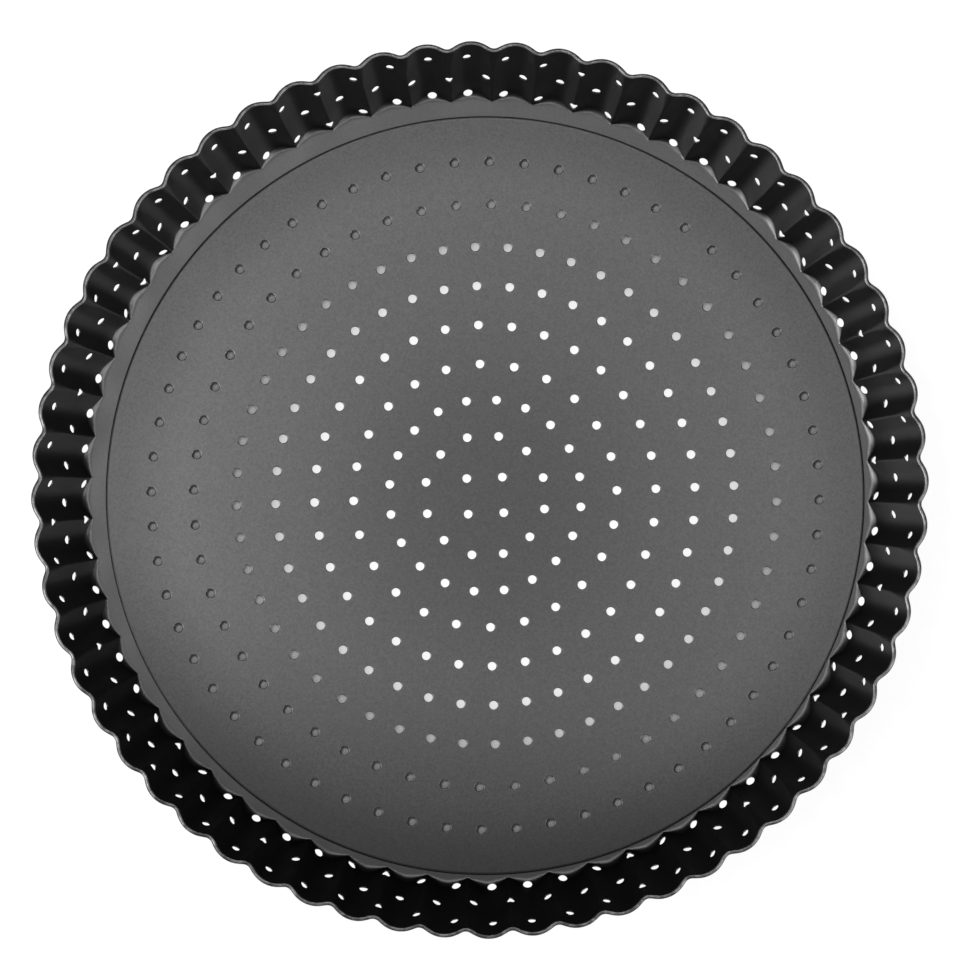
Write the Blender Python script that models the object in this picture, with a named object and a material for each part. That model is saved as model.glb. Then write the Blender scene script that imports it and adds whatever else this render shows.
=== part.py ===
"""Perforated tart pan with a loose base.

A fluted ring is pressed from one thin sheet: a flat ledge round a wide opening, a flared wall
folded into flutes, and a rim rolled outwards. A flat perforated disc lies loose on the ledge.

Metres, +Z up. The origin is on the ring's axis, on the surface that the pan stands on.
"""

import math
from typing import NamedTuple

import bmesh
import bpy
import numpy as np
from mathutils import Vector
from mathutils.geometry import delaunay_2d_cdt

# Fluted ring
RIM_DIAMETER = 0.2500  # over the rolled rim, from crest to opposite crest
FOOT_DIAMETER = 0.2188  # inside the foot of the wall, from cusp to opposite cusp
PAN_HEIGHT = 0.0250
RING_SHEET = 0.0004
LEDGE_WIDTH = 0.0084  # from the cusps' foot in to the opening
BEND_RADIUS = 0.0006  # inside the bend from ledge to wall
CURL_DIAMETER = 0.0014  # over the rolled rim's tube

# Flutes of the wall, whose nearly straight flanks meet in round crests and sharp cusps
FLUTES = 60
FOOT_FLUTE_DEPTH = 0.0018
RIM_FLUTE_DEPTH = 0.0020
FLANK_BOW = 0.32  # 0 for straight flanks, 1 for an arc from cusp to cusp
FIRST_CREST = math.radians(1.2)

# Rows of holes round the wall, each row half a step off the next, smaller towards the rim
FOOT_ROW_HOLE_DIAMETER = 0.0025
RIM_ROW_HOLE_DIAMETER = 0.0021
WALL_HOLE_ROWS = 3
HOLES_PER_WALL_ROW = 70
FOOT_ROW_RISE = 0.0017  # up the wall at a crest, from its foot to the lowest row
RIM_ROW_DROP = 0.0059  # down the wall at a crest, from the rolled rim to the highest row
FIRST_WALL_HOLE = math.radians(-0.83)

# Loose base, which has slid on the ledge until it nearly meets the cusps
BASE_SHEET = 0.0006
SEAT_PLAY = 0.0025  # all round, between the centred base and the cusps' foot
SIDE_GAP = 0.0003  # left between the base's edge and the nearest cusp
SEAT_GAP = 0.0003  # between the ledge and the base
BASE_SLID_TOWARDS = math.radians(-47.4)
BASE_TURN = math.radians(2.3)

# Rows of holes in the base: holes, step out from the row before, starts half a step round
BASE_HOLE_DIAMETER = 0.0024
BASE_HOLE_ROWS = (
    (4, 0.0071, True),
    (12, 0.0100, True),
    (20, 0.0100, True),
    (24, 0.0100, False),
    (32, 0.0110, False),
    (40, 0.0110, False),
    (48, 0.0110, False),
    (52, 0.0120, True),
    (60, 0.0120, True),
)
BASE_HOLE_MARGIN = 0.0030  # bare sheet kept between the holes and the edge

# Fineness of the mesh
COLUMNS_PER_FLUTE = 4
HOLE_CORNERS = 6
BASE_EDGE_CORNERS = 120
HOLE_GRAZE = 0.97  # a fold line further out than this share of a hole's width misses it
WELD = 0.000001

CURL_RADIUS = CURL_DIAMETER / 2
CURL_HEIGHT = PAN_HEIGHT - CURL_RADIUS
FOOT_RADIUS = FOOT_DIAMETER / 2
CREST_CURL_RADIUS = RIM_DIAMETER / 2 - CURL_RADIUS
OPENING_RADIUS = FOOT_RADIUS - LEDGE_WIDTH
COLUMNS = FLUTES * COLUMNS_PER_FLUTE
BASE_RADIUS = FOOT_RADIUS - SEAT_PLAY
BASE_SLIDE = SEAT_PLAY - SIDE_GAP
BASE_HOLE_RADIUS = BASE_HOLE_DIAMETER / 2

# Coating: dark grey non-stick, a little lighter on the flat base
RING_COLOUR = (0.030, 0.030, 0.033, 1.0)
BASE_COLOUR = (0.085, 0.085, 0.090, 1.0)
COATING_ROUGHNESS = 0.42
COATING_METALLIC = 0.35


def clear_scene():
    for scene_object in list(bpy.context.scene.objects):
        bpy.data.objects.remove(scene_object, do_unlink=True)


def coating(name, colour):
    material = bpy.data.materials.new(name)
    material.use_nodes = True
    shader = material.node_tree.nodes["Principled BSDF"]
    shader.inputs["Base Color"].default_value = colour
    shader.inputs["Roughness"].default_value = COATING_ROUGHNESS
    shader.inputs["Metallic"].default_value = COATING_METALLIC
    return material


def add_piece(name, mesh, material, smooth_below):
    """Closes and tidies a piece's mesh and puts it in the scene as a named object."""
    bmesh.ops.remove_doubles(mesh, verts=mesh.verts, dist=WELD)
    bmesh.ops.recalc_face_normals(mesh, faces=mesh.faces)
    data = bpy.data.meshes.new(name)
    mesh.to_mesh(data)
    mesh.free()
    data.shade_smooth()
    data.set_sharp_from_angle(angle=smooth_below)
    data.materials.append(material)
    piece = bpy.data.objects.new(name, data)
    bpy.context.scene.collection.objects.link(piece)
    return piece


def hole_outline(centre, half_width, half_height, fold_offsets=()):
    """Corners of a punched hole, with a corner wherever a fold line crosses its edge."""
    angles = sorted(
        side * math.acos(offset / half_width) for offset in fold_offsets for side in (-1, 1)
    )
    if not angles:
        angles = [0.0]
    corners = []
    for start, end in zip(angles, angles[1:] + [angles[0] + math.tau]):
        steps = max(1, round((end - start) / math.tau * HOLE_CORNERS))
        for step in range(steps):
            angle = start + (end - start) * step / steps
            corner = (half_width * math.cos(angle), half_height * math.sin(angle))
            corners.append(Vector(centre) + Vector(corner))
    return corners


def punched_blank(outline, holes, folds):
    """Triangles of a flat sheet inside an outline, without its holes, kept straight along folds."""
    points = []
    edges = []
    hole_faces = []
    for loop in [outline] + holes:
        first = len(points)
        points += loop
        indices = list(range(first, len(points)))
        edges += list(zip(indices, indices[1:] + indices[:1]))
        if loop is not outline:
            hole_faces.append(indices)
    for start, end in folds:
        edges.append((len(points), len(points) + 1))
        points += [start, end]
    flat = [Vector(point) for point in points]
    flat, _, faces, _, _, sources = delaunay_2d_cdt(flat, edges, hole_faces, 0, WELD, True)
    return flat, [face for face, source in zip(faces, sources) if not source]


def open_edges(faces):
    """Edges that only one triangle of the blank uses: its outline and its holes."""
    directed = {(face[i], face[(i + 1) % 3]) for face in faces for i in range(3)}
    return [(a, b) for a, b in directed if (b, a) not in directed]


def flute_bulge(angle):
    """How far a flute bows out at an angle, from 0 at its cusps to 1 at its crest.

    It is straight between two columns, so that a hole there is cut in a flat facet.
    """
    column = (angle - FIRST_CREST) / math.tau * COLUMNS % COLUMNS_PER_FLUTE
    corners = range(COLUMNS_PER_FLUTE + 1)
    from_cusp = [abs(2 * corner / COLUMNS_PER_FLUTE - 1) for corner in corners]
    bowed = [share + FLANK_BOW * share * (1 - share) for share in from_cusp]
    return float(np.interp(column, corners, bowed))


class Section:
    """The ring's cross-section at one angle, as (radius, height) points."""

    def __init__(self, angle):
        bulge = flute_bulge(angle)
        self.foot = Vector((FOOT_RADIUS + FOOT_FLUTE_DEPTH * bulge, RING_SHEET))
        curl_radius_out = CREST_CURL_RADIUS - RIM_FLUTE_DEPTH * (1 - bulge)
        self.curl = Vector((curl_radius_out, CURL_HEIGHT))
        reach = self.curl - self.foot
        self.flare = math.atan2(reach.x, reach.y) - math.asin(CURL_RADIUS / reach.length)
        self.up = Vector((math.sin(self.flare), math.cos(self.flare)))
        self.out = Vector((math.cos(self.flare), -math.sin(self.flare)))
        self.wall_length = math.sqrt(reach.length**2 - CURL_RADIUS**2)
        # Half the angle that the curl's tube leaves open where the wall's outer face meets it
        self.curl_opening = math.acos(1 - RING_SHEET / CURL_RADIUS)
        self.bend_length = BEND_RADIUS * math.tan((math.pi / 2 - self.flare) / 2)

    def inner_face(self):
        """Opening, bend's two ends and top of the wall, on the side that holds the dough."""
        bend_start = self.foot - Vector((self.bend_length, 0))
        bend_end = self.foot + self.up * self.bend_length
        drop = CURL_RADIUS * math.sin(self.curl_opening)
        wall_top = self.foot + self.up * (self.wall_length - drop)
        return [Vector((OPENING_RADIUS, RING_SHEET)), bend_start, bend_end, wall_top]

    def outer_face(self):
        """The same four points on the underside and the outside of the sheet."""
        opening, bend_start, bend_end, wall_top = self.inner_face()
        down = Vector((0, -RING_SHEET))
        across = self.out * RING_SHEET
        return [opening + down, bend_start + down, bend_end + across, wall_top + across]

    def curl_corners(self):
        """Round the rolled rim, from where the wall's inner face meets it, over the top and out."""
        start = math.pi - self.flare
        end = start + self.curl_opening - math.tau
        turns = [start, math.radians(90), math.radians(45), 0, end / 2]
        return [
            self.curl + Vector((math.cos(turn), math.sin(turn))) * CURL_RADIUS for turn in turns
        ]


def at_angle(angle, section_point):
    """Turns a (radius, height) point round the axis."""
    radius, height = section_point
    return Vector((radius * math.cos(angle), radius * math.sin(angle), height))


def blank_levels():
    """Distance from the opening to each corner of the ring's sheet, measured at a crest."""
    corners = Section(FIRST_CREST).inner_face()
    steps = [(end - start).length for start, end in zip(corners, corners[1:])]
    return [0.0] + [sum(steps[: count + 1]) for count in range(len(steps))]


class WallHole(NamedTuple):
    """A hole in the wall: where its centre lies, with its level on the blank, and its radius."""

    angle: float
    from_axis: float
    level: float
    radius: float


def wall_holes():
    """The wall's holes, row by row.

    At a cusp the ledge is narrower than at a crest, so more of the sheet stands in the wall, and
    a row that was punched round in the blank lies higher there.
    """
    crest = Section(FIRST_CREST)
    foot_level = blank_levels()[2] - crest.bend_length
    rises = np.linspace(FOOT_ROW_RISE, crest.wall_length - RIM_ROW_DROP, WALL_HOLE_ROWS)
    diameters = np.linspace(FOOT_ROW_HOLE_DIAMETER, RIM_ROW_HOLE_DIAMETER, WALL_HOLE_ROWS)
    holes = []
    for row, (rise, diameter) in enumerate(zip(rises, diameters)):
        from_axis = crest.foot.x + crest.up.x * rise
        for hole in range(HOLES_PER_WALL_ROW):
            steps_round = hole + row % 2 / 2
            angle = FIRST_WALL_HOLE + math.tau * steps_round / HOLES_PER_WALL_ROW
            lift = FOOT_FLUTE_DEPTH * (1 - flute_bulge(angle)) * (1 - rise / crest.wall_length)
            holes.append(WallHole(angle, from_axis, foot_level + rise + lift, diameter / 2))
    return holes


def ring_columns(holes):
    """Angles of the flutes' fold lines, starting from the one that lies furthest from any hole."""
    angles = [FIRST_CREST + math.tau * column / COLUMNS for column in range(COLUMNS)]

    def clearance(angle):
        return min(abs((angle - hole.angle + math.pi) % math.tau - math.pi) for hole in holes)

    first = angles.index(max(angles, key=clearance))
    return [angles[first] + math.tau * column / COLUMNS for column in range(COLUMNS + 1)]


def ring_blank(columns, levels, holes):
    """The ring's sheet laid flat: distance round along X, distance from the opening along Y."""
    folds = []
    across = [x * RIM_DIAMETER / 2 for x in columns]
    hole_loops = []
    cuts = {x: [] for x in across}
    for hole in holes:
        wrapped = columns[0] + (hole.angle - columns[0]) % math.tau
        centre = wrapped * RIM_DIAMETER / 2
        half_width = hole.radius * RIM_DIAMETER / 2 / hole.from_axis
        crossed = [x for x in across if abs(x - centre) < HOLE_GRAZE * half_width]
        offsets = [x - centre for x in crossed]
        loop = hole_outline((centre, hole.level), half_width, hole.radius, offsets)
        hole_loops.append(loop)
        for x, offset in zip(crossed, offsets):
            half_cut = hole.radius * math.sqrt(1 - (offset / half_width) ** 2)
            cuts[x] += [hole.level - half_cut, hole.level + half_cut]
    for x in across:
        stops = [levels[1], levels[2], levels[2]] + sorted(cuts[x]) + [levels[3]]
        folds += [((x, low), (x, high)) for low, high in zip(stops[::2], stops[1::2])]
    for level in levels[1:3]:
        folds += [((start, level), (end, level)) for start, end in zip(across, across[1:])]
    opening_edge = [(x, levels[0]) for x in across[::2]]
    right_edge = [(across[-1], level) for level in levels[1:3]]
    top_edge = [(x, levels[3]) for x in reversed(across)]
    left_edge = [(across[0], level) for level in levels[2:0:-1]]
    outline = [Vector(point) for point in opening_edge + right_edge + top_edge + left_edge]
    return punched_blank(outline, hole_loops, folds)


def fluted_ring_mesh():
    """Presses the blank to its shape on both faces of the sheet and rolls the rim."""
    levels = blank_levels()
    holes = wall_holes()
    columns = ring_columns(holes)
    flat, faces = ring_blank(columns, levels, holes)
    mesh = bmesh.new()
    inner = []
    outer = []
    for x, level in flat:
        angle = x / (RIM_DIAMETER / 2)
        section = Section(angle)
        for side, corners in ((inner, section.inner_face()), (outer, section.outer_face())):
            radius = np.interp(level, levels, [corner.x for corner in corners])
            height = np.interp(level, levels, [corner.y for corner in corners])
            side.append(mesh.verts.new(at_angle(angle, (float(radius), float(height)))))
    for a, b, c in faces:
        mesh.faces.new((inner[a], inner[b], inner[c]))
        mesh.faces.new((outer[c], outer[b], outer[a]))

    def on_line(a, b, axis, value):
        return abs(flat[a][axis] - value) < WELD and abs(flat[b][axis] - value) < WELD

    left, right = (columns[0] * RIM_DIAMETER / 2, columns[-1] * RIM_DIAMETER / 2)
    for a, b in open_edges(faces):
        if on_line(a, b, 0, left) or on_line(a, b, 0, right):
            continue
        if not on_line(a, b, 1, levels[3]):
            mesh.faces.new((inner[b], inner[a], outer[a], outer[b]))
            continue
        # Along the top of the wall the sheet rolls over into the rim
        rows = []
        for index in (a, b):
            angle = flat[index].x / (RIM_DIAMETER / 2)
            rolled = [mesh.verts.new(at_angle(angle, p)) for p in Section(angle).curl_corners()]
            rows.append([inner[index]] + rolled + [outer[index]])
        for i in range(len(rows[0]) - 1):
            mesh.faces.new((rows[1][i], rows[0][i], rows[0][i + 1], rows[1][i + 1]))
    return mesh


def base_hole_loops():
    """Outline of each hole in the base, in rows that fit inside its edge."""
    loops = []
    radius = 0.0
    for count, step, half_step_round in BASE_HOLE_ROWS:
        radius += step
        if radius + BASE_HOLE_RADIUS + BASE_HOLE_MARGIN > BASE_RADIUS:
            break
        for hole in range(count):
            angle = math.tau * (hole + half_step_round / 2) / count
            centre = (radius * math.cos(angle), radius * math.sin(angle))
            loops.append(hole_outline(centre, BASE_HOLE_RADIUS, BASE_HOLE_RADIUS))
    return loops


def loose_base_mesh():
    """A flat disc with its holes, from its underside at height 0 up to its sheet's thickness."""
    turns = [math.tau * corner / BASE_EDGE_CORNERS for corner in range(BASE_EDGE_CORNERS)]
    edge = [Vector((math.cos(turn), math.sin(turn))) * BASE_RADIUS for turn in turns]
    flat, faces = punched_blank(edge, base_hole_loops(), [])
    mesh = bmesh.new()
    top = [mesh.verts.new((point.x, point.y, BASE_SHEET)) for point in flat]
    under = [mesh.verts.new((point.x, point.y, 0)) for point in flat]
    for a, b, c in faces:
        mesh.faces.new((top[a], top[b], top[c]))
        mesh.faces.new((under[c], under[b], under[a]))
    for a, b in open_edges(faces):
        mesh.faces.new((top[b], top[a], under[a], under[b]))
    return mesh


def main():
    clear_scene()
    ring_coating = coating("ring_coating", RING_COLOUR)
    base_coating = coating("base_coating", BASE_COLOUR)
    smooth_below = math.radians(30)
    ring = add_piece("fluted_ring", fluted_ring_mesh(), ring_coating, smooth_below)
    base = add_piece("loose_base", loose_base_mesh(), base_coating, smooth_below)
    base.parent = ring
    base.location = (
        BASE_SLIDE * math.cos(BASE_SLID_TOWARDS),
        BASE_SLIDE * math.sin(BASE_SLID_TOWARDS),
        RING_SHEET + SEAT_GAP,
    )
    base.rotation_euler.z = BASE_TURN
    bpy.context.view_layer.update()


main()
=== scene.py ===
"""Perforated tart pan: the looks of a fluted, coated ring and the loose base that lies in it.

Metres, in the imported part's frame: +Z up the ring's axis, with the pan standing on Z = 0, and +X
to the right and +Y away in the photograph, which looks straight down.

Both pieces are thin coated sheet. Each is drawn first as a flat punched blank, whose corners are
then placed on the two faces of the pressed sheet, with a rounded edge wherever the sheet is cut.
"""

from __future__ import annotations

import logging
import math
from dataclasses import dataclass

import bmesh
import bpy
import numpy as np
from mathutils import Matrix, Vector
from mathutils.geometry import delaunay_2d_cdt


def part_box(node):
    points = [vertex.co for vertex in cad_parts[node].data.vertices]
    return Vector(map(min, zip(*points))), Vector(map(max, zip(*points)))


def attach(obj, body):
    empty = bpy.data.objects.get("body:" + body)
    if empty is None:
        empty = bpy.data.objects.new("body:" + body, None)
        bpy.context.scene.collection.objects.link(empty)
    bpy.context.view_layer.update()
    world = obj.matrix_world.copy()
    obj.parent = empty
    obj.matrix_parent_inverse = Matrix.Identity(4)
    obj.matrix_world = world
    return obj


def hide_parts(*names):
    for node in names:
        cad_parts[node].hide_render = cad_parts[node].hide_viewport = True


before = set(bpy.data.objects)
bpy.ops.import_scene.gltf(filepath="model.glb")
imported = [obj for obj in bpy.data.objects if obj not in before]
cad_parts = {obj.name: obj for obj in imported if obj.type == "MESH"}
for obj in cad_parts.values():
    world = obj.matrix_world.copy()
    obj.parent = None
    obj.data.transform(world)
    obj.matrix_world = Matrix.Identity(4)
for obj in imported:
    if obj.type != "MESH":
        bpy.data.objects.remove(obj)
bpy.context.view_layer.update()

log = logging.getLogger("tart_pan")

WEAR_ATTRIBUTE = "edge_wear"
WELD = 1e-7  # corners of a blank nearer than this are one corner
TRACE_REACH = 0.05  # angle to each side of a hole for which a line along the wall is followed
TRACE_STEPS = 200  # steps of that line to each side
GUARD_LIPS = 3  # from a hole to the corners that keep the faces round it small, in lips
BARE_LIPS = 5  # from a hole to the nearest corner of the grid, in lips
LAMP_WATTS = 4  # power of a square metre of lamp whose face is as bright as white
BASE_CENTRE = (0.0015, -0.0016)  # of the base, where it has slid to
FRONT_SHADOW_AXIS = (0.043, 0.194)  # a place behind the pan, from which the painted shadow at the front is measured: the further from it, the nearer to the front

Points = np.ndarray
Row = np.ndarray


@dataclass(frozen=True)
class EdgeStation:
    """One line along a cut edge, between the sheet's upper face and its underside.

    inset is how far it lies back from the edge, depth how far below the upper face, and turn the
    angle of its normal: 0 is along the upper face's, a quarter turn points out of the cut.
    """

    inset: float
    depth: float
    turn: float


@dataclass(frozen=True)
class CutEdge:
    """The edge that a punch or shear leaves on a coated sheet, rounded on both faces."""

    lip: float  # how deep the rounding goes
    spread: float = 1.0  # how wide it is, as a share of its depth
    facets: int = 3

    @property
    def inset(self) -> float:
        """How far back from the cut the rounding starts."""
        return self.lip * self.spread

    def stations(self, thickness: float) -> list[EdgeStation]:
        """Works out the lines of the edge.

        Args:
            thickness: the sheet's thickness.

        Returns:
            The stations from the upper face to the underside, both ends included.
        """
        upper = []
        for step in range(self.facets + 1):
            across = math.sin(math.pi / 2 * step / self.facets)
            down = math.cos(math.pi / 2 * step / self.facets)
            turn = math.atan2(across, self.spread * down)
            upper.append(EdgeStation(self.inset * (1 - across), self.lip * (1 - down), turn))
        under = [EdgeStation(s.inset, thickness - s.depth, math.pi - s.turn) for s in reversed(upper)]
        return upper + under


class SheetMesh:
    """Gathers the corners, normals, wear and faces of one closed piece of sheet."""

    def __init__(self) -> None:
        """Starts with no corners and no faces."""
        self.points: list[Points] = []
        self.normals: list[Points] = []
        self.wear: list[np.ndarray] = []
        self.faces: list[tuple[int, ...]] = []
        self.count = 0

    def add(self, points: Points, normals: Points, wear: np.ndarray | float = 0.0) -> Row:
        """Adds corners.

        Args:
            points: their places, one to a line.
            normals: their normals, of any length.
            wear: how worn each is, or one value for all, from 0 to 1.

        Returns:
            Their indices.
        """
        total = len(points)
        self.points.append(points)
        self.normals.append(normals / np.linalg.norm(normals, axis=1, keepdims=True))
        self.wear.append(np.broadcast_to(wear, total))
        self.count += total
        return np.arange(self.count - total, self.count)

    def join(self, rows: list[Row]) -> None:
        """Spans closed rows of corners with faces, each row to the next.

        Args:
            rows: indices of corners, as many in each row.
        """
        for near, far in zip(rows, rows[1:]):
            quads = np.stack([near, np.roll(near, -1), np.roll(far, -1), far], axis=1)
            self.faces += [tuple(quad) for quad in quads.tolist()]

    def add_triangles(self, triangles: np.ndarray) -> None:
        """Adds triangles, given as three indices to a line."""
        self.faces += [tuple(triangle) for triangle in triangles.tolist()]

    def build(self, name: str, material: bpy.types.Material) -> bpy.types.Object:
        """Makes the piece.

        Args:
            name: the piece's name.
            material: its finish.

        Returns:
            The new object, in the scene.
        """
        data = bpy.data.meshes.new(name)
        data.from_pydata(np.concatenate(self.points).tolist(), [], self.faces)
        facing = bmesh.new()
        facing.from_mesh(data)
        bmesh.ops.recalc_face_normals(facing, faces=facing.faces)
        facing.to_mesh(data)
        facing.free()
        wear = data.attributes.new(WEAR_ATTRIBUTE, "FLOAT", "POINT")
        wear.data.foreach_set("value", np.concatenate(self.wear).astype(np.float32))
        data.shade_smooth()
        data.normals_split_custom_set_from_vertices(np.concatenate(self.normals).tolist())
        data.materials.append(material)
        piece = bpy.data.objects.new(name, data)
        bpy.context.scene.collection.objects.link(piece)
        return piece


def punch(points: Points, loops: list[Row], boundary: Row) -> np.ndarray:
    """Cuts a flat blank into triangles and leaves its holes out.

    Args:
        points: all corners of the blank, as (x, y).
        loops: indices of the corners round each hole.
        boundary: indices of the corners round the outside.

    Returns:
        The triangles, as three indices to a line, anticlockwise.
    """
    edges = [(int(a), int(b)) for loop in [boundary] + loops for a, b in zip(loop, np.roll(loop, -1))]
    holes = [[int(corner) for corner in loop] for loop in loops]
    flat = [Vector((float(x), float(y))) for x, y in points]
    _, _, faces, origins, _, sources = delaunay_2d_cdt(flat, edges, holes, 0, WELD, True)
    kept = [face for face, source in zip(faces, sources) if not source]
    return np.array([[origins[corner][0] for corner in face] for face in kept])


def outside(points: Points, outline: Points) -> np.ndarray:
    """Finds which points lie outside a closed outline.

    Args:
        points: the points to test, as (x, y).
        outline: the outline's corners, as (x, y).

    Returns:
        True for each point that lies outside.
    """
    spokes = outline[None, :, :] - points[:, None, :]
    angles = np.arctan2(spokes[:, :, 1], spokes[:, :, 0])
    steps = np.diff(np.concatenate([angles, angles[:, :1]], axis=1), axis=1)
    turned = ((steps + math.pi) % math.tau - math.pi).sum(axis=1)
    return np.abs(turned) < math.pi


def between(low: float | np.ndarray, high: float | np.ndarray, share: np.ndarray) -> np.ndarray:
    """Goes a share of the way from one value to another."""
    return low + (high - low) * share


def smooth(share: np.ndarray) -> np.ndarray:
    """Eases a share of the way from 0 to 1, which it is clipped to."""
    clipped = np.clip(share, 0, 1)
    return clipped * clipped * (3 - 2 * clipped)


@dataclass(frozen=True)
class Flute:
    """A flute's cross-section: straight flanks between a round crest and a rounded cusp."""

    depth: float
    crest_radius: float
    cusp_radius: float


@dataclass(frozen=True)
class WallHole:
    """A hole in the wall, in the wall's own coordinates."""

    angle: float
    share: float  # of the way up the wall, at its centre
    radius: float


@dataclass
class FlutedRing:
    """The wall: one pressed sheet with a flat ledge, a fluted and flared wall and a rolled rim."""

    material: bpy.types.Material
    body: str = "ring"
    node: str = "fluted_ring"
    slot: str = "ring_coating"
    rim_diameter: float = 0.2500  # over the rolled rim, from crest to opposite crest
    foot_diameter: float = 0.2192  # inside the foot of the wall, from cusp to opposite cusp
    height: float = 0.0250
    sheet: float = 0.0004
    ledge_width: float = 0.0086  # from the cusps' foot in to the opening
    curl_radius: float = 0.0007  # outside the rolled rim
    curl_turn: float = math.radians(262)  # how far round the rim is rolled
    cusp_bend: float = 0.00075  # radius of the bend from ledge to wall, at a cusp
    crest_bend: float = 0.0030  # the same at a crest
    bend_reach: float = 0.0021  # further than the bend goes, to both sides of the wall's foot
    flutes: int = 60
    first_crest: float = math.radians(1.2)  # angle round the ring
    foot_flute: Flute = Flute(depth=0.00215, crest_radius=0.0065, cusp_radius=0.0008)
    rim_flute: Flute = Flute(depth=0.0020, crest_radius=0.0072, cusp_radius=0.0038)
    foot_flute_reach: float = 0.6  # share of the way up to which crests and cusps stay as at the foot
    foot_row_hole: float = 0.0025  # diameter of the lowest row's holes
    rim_row_hole: float = 0.0021  # of the highest row's
    hole_rows: int = 3
    holes_per_row: int = 70
    foot_row_rise: float = 0.0008  # up the wall at a crest, from its foot to the lowest row
    rim_row_drop: float = 0.0060  # down the wall at a crest, from the rim to the highest row
    first_hole: float = math.radians(-0.83)  # angle round the ring
    edge: CutEdge = CutEdge(lip=0.00010)
    ridge_wear: float = 0.2  # how worn the cusps' ridges are, from 0 to 1
    ridge_wear_fade: float = 0.125  # share of the way up over which that comes in
    hole_wear: float = 0.4  # of the holes' edges
    roll_end_wear: float = 0.3  # of the rolled rim's cut end
    columns_per_half_flute: int = 10
    even_spacing: float = 0.2  # share of the columns' spacing that doesn't draw in to the cusps
    ledge_rows: int = 5
    bend_rows: int = 13
    wall_rows: int = 18
    roll_rows: int = 18
    roll_rows_inside: int = 10
    hole_corners: int = 24

    def __post_init__(self) -> None:
        """Works out the sizes that follow from the driving ones."""
        self.foot_crest = self.foot_diameter / 2 + self.foot_flute.depth
        self.opening = self.foot_diameter / 2 - self.ledge_width
        curl_centre = Vector((self.rim_diameter / 2 - self.curl_radius, self.height - self.curl_radius))
        reach = curl_centre - Vector((self.foot_crest, self.sheet))
        self.flare = math.atan2(reach.x, reach.y) - math.asin(self.curl_radius / reach.length)
        self.wall_length = math.sqrt(reach.length**2 - self.curl_radius**2)
        self.top_crest = self.foot_crest + self.wall_length * math.sin(self.flare)
        self.top_height = self.sheet + self.wall_length * math.cos(self.flare)
        self.hole_pitch = math.tau / self.holes_per_row
        self.repeats = math.gcd(self.flutes, self.holes_per_row)
        self.spins = math.tau * np.arange(self.repeats) / self.repeats
        self.columns = self.column_angles()

    def bow(self, angle: np.ndarray, share: np.ndarray) -> np.ndarray:
        """Shapes the flutes.

        Args:
            angle: angles round the ring.
            share: shares of the way up the wall.

        Returns:
            How far out the sheet stands from its crest: 0 there, and below 0 elsewhere.
        """
        foot, rim = self.foot_flute, self.rim_flute
        to_rim = smooth((share - self.foot_flute_reach) / (1 - self.foot_flute_reach))
        depth = between(foot.depth, rim.depth, share)
        crest = between(foot.crest_radius, rim.crest_radius, to_rim)
        cusp = between(foot.cusp_radius, rim.cusp_radius, to_rim)
        half_pitch = math.pi / self.flutes * between(self.foot_crest, self.top_crest, share)
        both = crest + cusp
        rest = both - depth
        lean = np.arcsin(both / np.hypot(half_pitch, rest)) - np.arctan2(rest, half_pitch)
        turn = (angle - self.first_crest) / math.tau * self.flutes
        across = np.abs(turn - np.round(turn)) * 2 * half_pitch
        from_cusp = half_pitch - across
        on_crest = np.sqrt(np.maximum(crest**2 - across**2, 0)) - crest
        on_flank = crest * (np.cos(lean) - 1) - (across - crest * np.sin(lean)) * np.tan(lean)
        on_cusp = cusp - depth - np.sqrt(np.maximum(cusp**2 - from_cusp**2, 0))
        lower = np.where(from_cusp > cusp * np.sin(lean), on_flank, on_cusp)
        return np.where(across < crest * np.sin(lean), on_crest, lower)

    def bulge(self, angle: np.ndarray) -> np.ndarray:
        """How far a flute bows out at its foot, from 0 at a cusp to 1 at a crest."""
        return 1 + self.bow(angle, np.zeros_like(angle)) / self.foot_flute.depth

    def foot(self, angle: np.ndarray) -> np.ndarray:
        """Distance from the axis at which the wall would meet the ledge without a bend."""
        return self.foot_crest + self.bow(angle, np.zeros_like(angle))

    def wall(self, angle: np.ndarray, share: np.ndarray) -> Points:
        """Places points on the sheet's upper face: on the ledge, round the bend and up the wall.

        Args:
            angle: angles round the ring.
            share: shares of the way up the wall, 0 where it would meet the ledge without a bend,
                and below 0 on the ledge.

        Returns:
            The points.
        """
        lean = self.top_crest + self.bow(angle, np.ones_like(angle)) - self.foot(angle)
        flare = np.arctan2(lean, self.top_height - self.sheet)
        bend = between(self.cusp_bend, self.crest_bend, smooth(self.bulge(angle)))
        tangent = bend * np.tan((math.pi / 2 - flare) / 2)
        up = share * self.wall_length
        above = np.maximum(up, tangent) / self.wall_length
        tilt = (math.pi / 2 - flare) * np.clip((up / tangent + 1) / 2, 0, 1)
        radius = between(self.foot_crest, self.top_crest, above) + self.bow(angle, above)
        radius += np.minimum(up + tangent, 0) - bend * (np.cos(flare) - np.sin(tilt))
        height = between(self.sheet, self.top_height, above) - bend * (np.cos(tilt) - np.sin(flare))
        height = np.where(up < -tangent, self.sheet, height)
        return np.stack([radius * np.cos(angle), radius * np.sin(angle), height], axis=-1)

    def wall_frame(self, angle: np.ndarray, share: np.ndarray) -> tuple[Points, Points, Points]:
        """Works out the directions at points of the sheet.

        Args:
            angle: angles round the ring.
            share: shares of the way up the wall.

        Returns:
            Unit vectors out of the pan, along the flutes' outline and up the wall, square to it.
        """
        step = 1e-5  # as an angle and as a share of the way up
        along = self.wall(angle + step, share) - self.wall(angle - step, share)
        rising = self.wall(angle, share + step) - self.wall(angle, share - step)
        out = np.cross(along, rising)
        out /= np.linalg.norm(out, axis=-1, keepdims=True)
        along /= np.linalg.norm(along, axis=-1, keepdims=True)
        return out, along, np.cross(out, along)

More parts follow.
